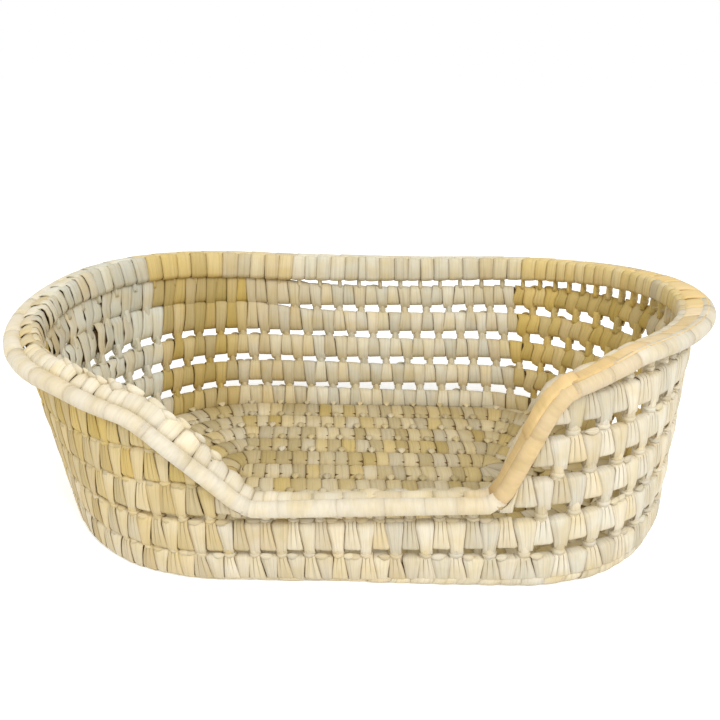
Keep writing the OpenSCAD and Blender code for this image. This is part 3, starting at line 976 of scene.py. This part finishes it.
def modelLashing():
    startFresh()
    bpy.ops.mesh.primitive_grid_add(x_subdivisions=lashing["columns"],
                                    y_subdivisions=len(lashing["route"]) - 1, size=1)
    flat = bpy.context.object
    return readMaster(flat, lambda p: p[:, 0] + 0.5, lambda p: (p[:, 1] + 0.5) * 0.3)


lashMaster = modelLashing()


def layLashings():
    copies, tones = [], []
    route = np.array(lashing["route"]) * mm
    p, q = -lashMaster["points"][:, 0], lashMaster["points"][:, 1] + 0.5
    leg = np.linspace(0, 1, len(route))
    for j in range(2 * stations):
        s0 = stationAt(0.5 * j + 0.25)
        lumpy = shareAt(lashing["lumpy"], s0)
        if j % 2 and lumpy < lashing["lumpyLeast"]:
            continue  # two narrow ones to a stitch on the left slope, one broad one elsewhere
        right = shareAt(lashing["merged"], s0)
        merged = max(right, shareAt(lashing["backMerged"], s0))
        top = float(rimSize("edgeTop", s0))
        rollTop = float(2 * rimSize("rollSize", s0) + rimSize("rollUp", s0)) - rim["rollSink"]
        width = stepAt(s0) * lashing["cover"] * dice.uniform(0.9, 1.1) * (1 + 0.2 * merged)
        if lumpy >= lashing["lumpyLeast"]:
            width = width * dice.uniform(*lashing["lumpWide"])
        rollOut = float(rimSize("rollOut", s0))
        u = np.interp(q, leg, route[:, 0]) + merged * q * (rollOut - lashing["over"])
        v = np.interp(q, leg, route[:, 1]) + top + merged * q ** 2 * (rollTop - top + lashing["over"])
        v = v + lumpy * np.clip(2 * q - 0.9, 0, 1) * (rollTop - top + 1.0 * mm)
        u = u + lumpy * np.clip(2 * q - 1, 0, 1) * 1.5 * mm
        crown = np.clip(1.5 * q, 0, 1) * (1 - 0.8 * merged) * lashing["crown"]
        crown = crown + lashing["scallop"] * lumpy * np.clip(5 * q, 0, 1) * np.clip(2 - 2 * q, 0, 1)
        v = v + crown * (1 - 4 * p * p) + (merged * 0.3 * p - 0.4) * mm
        lump = dice.uniform(0.2, 2.4) + dice.uniform(-2.2, 2.2) * p
        v = v + lumpy * lump * mm * np.clip(2 - 2 * q, 0, 1)
        narrowing = lashing["narrowing"] + lashing["leftNarrowing"] * shareAt(edge["open"], s0)
        narrowing = narrowing + lashing["pits"] * shareAt(lashing["pitted"], s0) * dice.uniform(0.3, 1)
        s = s0 + p * width * (1 - narrowing * q) + dice.uniform(-1.5, 1.5) * mm * (q - 0.5)
        copies.append(rimPoint(s, u, v))
        shade, gold, grey, tan = rimTone(s0)
        shade, gold, tan = shade + 0.1 * lumpy, gold * (1 - 0.85 * lumpy), tan * (1 - lumpy)
        tan = tan + lashing["mergedTan"] * right + lashing["slopeTan"] * shareAt(roll["slope"], s0)
        tones.append((shade + 0.15 * merged, gold, grey * (1 - right), min(1, tan)))
    piece = layPiece("rim_lashing_strips", lashMaster, copies, tones, lashing["thick"])
    dress(piece, rollPalm, "knot_strip", "rim_lashings")


frill = {
    "from": -205 * mm,
    "to": -98 * mm,
    "step": 8 * mm,
    "long": 8 * mm,
    "high": 8 * mm,
    "up": 0.62,
    "tip": 5 * mm,
    "thick": 0.6 * mm,
}


def layFrills():
    # short folded ends that stand up along the left slope of the entrance
    copies, tones = [], []
    leaf = leafMaster["points"]
    s0 = frill["from"]
    while s0 < frill["to"]:
        size = dice.uniform(0.75, 1.15)
        tilt = dice.uniform(-0.8, 0.8)
        s = s0 + leaf[:, 0] * frill["long"] * size - tilt * leaf[:, 1] * frill["high"]
        u = dice.uniform(-6.0, -1.0) * mm + leaf[:, 1] * dice.uniform(-3, 3) * mm + leaf[:, 2]
        v = rimSize("edgeTop", s) + (leaf[:, 1] + frill["up"]) * frill["high"] * size
        v = v + tilt * leaf[:, 0] * frill["tip"]
        copies.append(rimPoint(s, u, v))
        tones.append((dice.uniform(0.6, 1.0), dice.uniform(0.0, 0.35), dice.uniform(0.0, 0.2), 0.0))
        s0 = s0 + frill["step"] * dice.uniform(0.6, 1.4)
    piece = layPiece("rim_frills", leafMaster, copies, tones, frill["thick"])
    dress(piece, rollPalm, "knot_strip", "rim_lashings")


layEdge()
layRoll()
layLashings()
layFrills()
print("rim laid")

# Base: the same coil laid flat in an oval spiral, its tapered end at the right
base = {
    "edge": 138.5 * mm,
    "turns": 5,
    "thick": 11 * mm,
    "gap": 0.6 * mm,
    "outerSwell": 2.6 * mm,
    "strip": 13 * mm,
    "legSteps": 48,
    "tailStop": 1.45,
    "tailStrips": 17,
    "stitchFrom": 40 * mm,
    "stitchUnder": 60 * mm,
    "stitchStop": 30 * mm,
    "stitchPitch": 28 * mm,
    "stitchLong": 11 * mm,
    "stitchWide": 7 * mm,
    "stitchTop": 0.6 * mm,
    "stitchFoot": -0.5 * mm,
    "stitchThick": 0.4 * mm,
}
baseTurn = base["edge"] / (base["turns"] + 0.5)
baseWide = baseTurn - base["gap"]


def spiralRoute():
    # heading and place along the middle of the coil, from the heart outwards
    half = wall["straightHalf"]
    legs = [(0.0, 2 * half, 0.0)]
    for i in range(1, base["turns"] + 1):
        legs += [(math.pi, (i - 0.5) * baseTurn, 1.0), (0.0, 2 * half, 0.0)]
        legs += [(math.pi, i * baseTurn, 1.0), (0.0, 2 * half, 0.0)]
    x, y, heading, travel = [-half], [0.0], [0.0], [0.0]
    for angle, size, bends in legs:
        steps = base["legSteps"]
        long = size * angle if bends else size
        for i in range(steps):
            heading.append(heading[-1] + angle / steps if bends else heading[-1])
            mean = (heading[-1] + heading[-2]) / 2
            x.append(x[-1] + math.cos(mean) * long / steps)
            y.append(y[-1] + math.sin(mean) * long / steps)
            travel.append(travel[-1] + long / steps)
    return np.array(travel), np.array(x), np.array(y), np.array(heading)


baseTravel, baseX, baseY, baseHeading = spiralRoute()
baseLastTurn = baseTravel[-1] - 4 * wall["straightHalf"] - math.pi * (2 * base["turns"] - 0.5) * baseTurn


def basePlace(t, u, v):
    # the coil's start is domed, and its last turn swells against the wall
    dome = np.clip(-t / (baseWide / 2), 0, 0.999)
    u, v = u * np.sqrt(1 - dome ** 2), v * np.sqrt(1 - dome ** 2)
    heading = np.interp(t, baseTravel, baseHeading)
    swell = base["outerSwell"] * (1 + np.clip(-np.cos(heading), 0, 1))
    v = v + swell * np.clip(v / (baseWide / 2), 0, 1) * (t > baseLastTurn)
    x = np.interp(t, baseTravel, baseX) + v * np.sin(heading) - dome * baseWide / 2
    y = np.interp(t, baseTravel, baseY) - v * np.cos(heading)
    return np.stack([x, y, np.maximum(base["thick"] / 2 - u, 0.0)], -1)


def tailPlace(t, u, v):
    # t is the angle about the right end's middle, v is shrunk to fit between two arcs
    half = wall["straightHalf"]
    reach = base["turns"] * baseTurn - base["gap"] / 2
    outer = base["edge"] - base["gap"] / 2 + base["outerSwell"] * (1 + np.clip(np.sin(t), 0, 1))
    inner = baseTurn / 2 * np.sin(t) + np.sqrt(reach ** 2 - (baseTurn / 2 * np.cos(t)) ** 2)
    radius = (outer + inner) / 2 + v / (baseWide / 2) * (outer - inner) / 2 * 0.98
    x, y = half + radius * np.cos(t), radius * np.sin(t)
    return np.stack([x, y, np.maximum(base["thick"] / 2 - u, 0.0)], -1)


# a darker, more golden tone than the wall: a guessed colour for the hidden base, partly painted shade so
# the gaps in the wall read dark
def baseTone():
    return dice.uniform(0.0, 0.8), dice.uniform(0.3, 0.9), dice.uniform(0, 0.2), 0.0


def layBase():
    copies, tones = [], []
    t = -baseWide / 2
    while t < baseTravel[-1] - mm:
        width = min(base["strip"] * dice.uniform(0.85, 1.15), baseTravel[-1] - t)
        middle = t + width / 2
        points, fold = windBand(plainBand, middle, 0, baseWide, base["thick"], basePlace, width, 0.1)
        copies.append(points)
        tones.append(baseTone())
        t = t + width
    piece = layPiece("base_strips", plainBand, copies, tones, band["thick"])
    dress(piece, stripPalm, "wrap_strip", "base_wrap")
    copies, tones = [], []
    for j in range(base["tailStrips"]):
        width = (math.pi / 2 + base["tailStop"]) / base["tailStrips"]
        t = -math.pi / 2 + (j + 0.5) * width
        points = plainBand["points"]
        u, v = coilSection(bandRound(points), baseWide, base["thick"], bandLift(points))
        copies.append(tailPlace(t + (bandAcross(points) - 0.5) * width * 1.02, u, v))
        tones.append(baseTone())
    piece = layPiece("base_tail_strips", plainBand, copies, tones, band["thick"])
    dress(piece, stripPalm, "wrap_strip", "base_tail")


foot = {
    "pitch": 16 * mm,
    "size": 2.4 * mm,
    "out": 1.8 * mm,
    "bigger": 0.6,
    "bigAt": (-20 * mm, 260 * mm),
    "thick": 0.4 * mm,
}


def layFoot():
    # short slanting stitches that hold the first row to the base
    copies, tones = [], []
    points = footBand["points"]
    p, angle = bandAcross(points) - 0.5, np.arctan2(points[:, 1], points[:, 0])
    count = round(around / foot["pitch"])
    for j in range(count):
        s0 = (j + 0.5) * around / count
        bigger = 1 + foot["bigger"] * shareAt(foot["bigAt"], s0)
        size = foot["size"] * bigger * dice.uniform(0.8, 1.05)
        s = s0 + p * around / count * dice.uniform(1.0, 1.2)
        s = s + np.sin(angle) * dice.uniform(0.5, 2.5) * mm
        out = foot["out"] * bigger - float(rowIn(s0))
        u = out + dice.uniform(-0.5, 0.6) * mm + np.cos(angle) * size * (1 - 0.8 * p * p)
        at = wallPoint(np.zeros_like(s), s, u)
        at[:, 2] = size + np.sin(angle) * size * (1 - 0.8 * p * p)
        copies.append(at)
        tones.append(stripTone(s0, 1.0))
    piece = layPiece("foot_stitches", footBand, copies, tones, foot["thick"])
    dress(piece, knotPalm, "knot_strip", "foot_ties")


def layBaseStitches():
    # a loose leaf across each gap between two turns, on both faces
    copies, tones = [], []
    leaf = leafMaster["points"]
    half = base["thick"] / 2
    t = base["stitchFrom"]
    while t < baseTravel[-1] - base["stitchStop"]:
        for face, most in ((1, base["stitchTop"]), (-1, base["stitchFoot"])):
            if face < 0 and t < base["stitchUnder"]:
                continue
            v = baseTurn / 2 + leaf[:, 0] * base["stitchLong"] * face
            at = basePlace(t + leaf[:, 1] * base["stitchWide"], np.zeros(len(leaf)), v)
            lift = half - 0.2 * mm + leaf[:, 2] * 0.7
            at[:, 2] = half + face * np.minimum(lift, half + most)
            copies.append(at)
            tones.append((dice.uniform(0.2, 0.9), dice.uniform(0.2, 0.7), 0.1, 0.0))
        t = t + base["stitchPitch"]
    piece = layPiece("base_stitches", leafMaster, copies, tones, base["stitchThick"])
    dress(piece, knotPalm, "knot_strip", "base_ties")


footBand = modelBand(8, (-0.5, 0.0, 0.1, 0.0, -0.5))
layBase()
layBaseStitches()
layFoot()
print("base laid")

# Camera at the photograph's angle
view = {
    "place": (-9.7 * mm, -642 * mm, 371.8 * mm),
    "down": 21.741,
    "left": -0.062,
    "roll": 1.066,
    "lens": 40.8,
    "sensor": 36,
    "far": 50,
}
bpy.ops.object.camera_add()
camera = bpy.context.object
camera.name = "camera"
camera.data.lens = view["lens"]
camera.data.sensor_width = view["sensor"]
camera.data.clip_end = view["far"]
turn = Matrix.Rotation(math.radians(view["left"]), 4, "Z")
aim = turn @ Matrix.Rotation(math.radians(90 - view["down"]), 4, "X")
spin = Matrix.Rotation(math.radians(view["roll"]), 4, "Z")
camera.matrix_world = Matrix.Translation(view["place"]) @ aim @ spin
bpy.context.scene.camera = camera

# Studio: pale floor, soft light
studio = {
    "floor": 12.0,
    "floorTone": (0.95, 0.95, 0.95, 1),
    "floorGlow": 0.34,
    "white": (1, 1, 1, 1),
    "world": 0.78,
    "lights": [
        ("key", (0.9, -1.3, 1.7), 1.2, 26),
        ("fill", (-1.5, -0.9, 1.2), 1.6, 8),
    ],
}
startFresh()
bpy.ops.mesh.primitive_plane_add(size=studio["floor"])
floor = bpy.context.object
floor.name = "floor"
n = Nodes("pale_floor")
n.shader.inputs["Roughness"].default_value = 0.9
n.shader.inputs["Specular IOR Level"].default_value = 0.0
n.shader.inputs["Base Color"].default_value = studio["floorTone"]
lit = n.add("ShaderNodeLightPath").outputs["Is Camera Ray"]
n.shader.inputs["Emission Color"].default_value = studio["white"]
n.feed(n.shader.inputs["Emission Strength"], n.math("MULTIPLY", lit, studio["floorGlow"]))
floor.data.materials.append(n.material)
world = bpy.data.worlds.new("studio")
bpy.context.scene.world = world
world.use_nodes = True
background = world.node_tree.nodes["Background"]
background.inputs["Color"].default_value = studio["white"]
paths = world.node_tree.nodes.new("ShaderNodeLightPath")
levels = world.node_tree.nodes.new("ShaderNodeMapRange")
levels.inputs["To Min"].default_value = studio["world"]
levels.inputs["To Max"].default_value = 1.0
world.node_tree.links.new(paths.outputs["Is Camera Ray"], levels.inputs["Value"])
world.node_tree.links.new(levels.outputs[0], background.inputs["Strength"])
for lightName, at, size, watts in studio["lights"]:
    bpy.ops.object.light_add(type="AREA", location=at)
    lamp = bpy.context.object
    lamp.name = lightName
    lamp.data.size = size
    lamp.data.energy = watts
    lamp.rotation_euler = (-Vector(at)).to_track_quat("-Z", "Y").to_euler()
bpy.context.scene.view_settings.view_transform = "Standard"
print("studio ready")
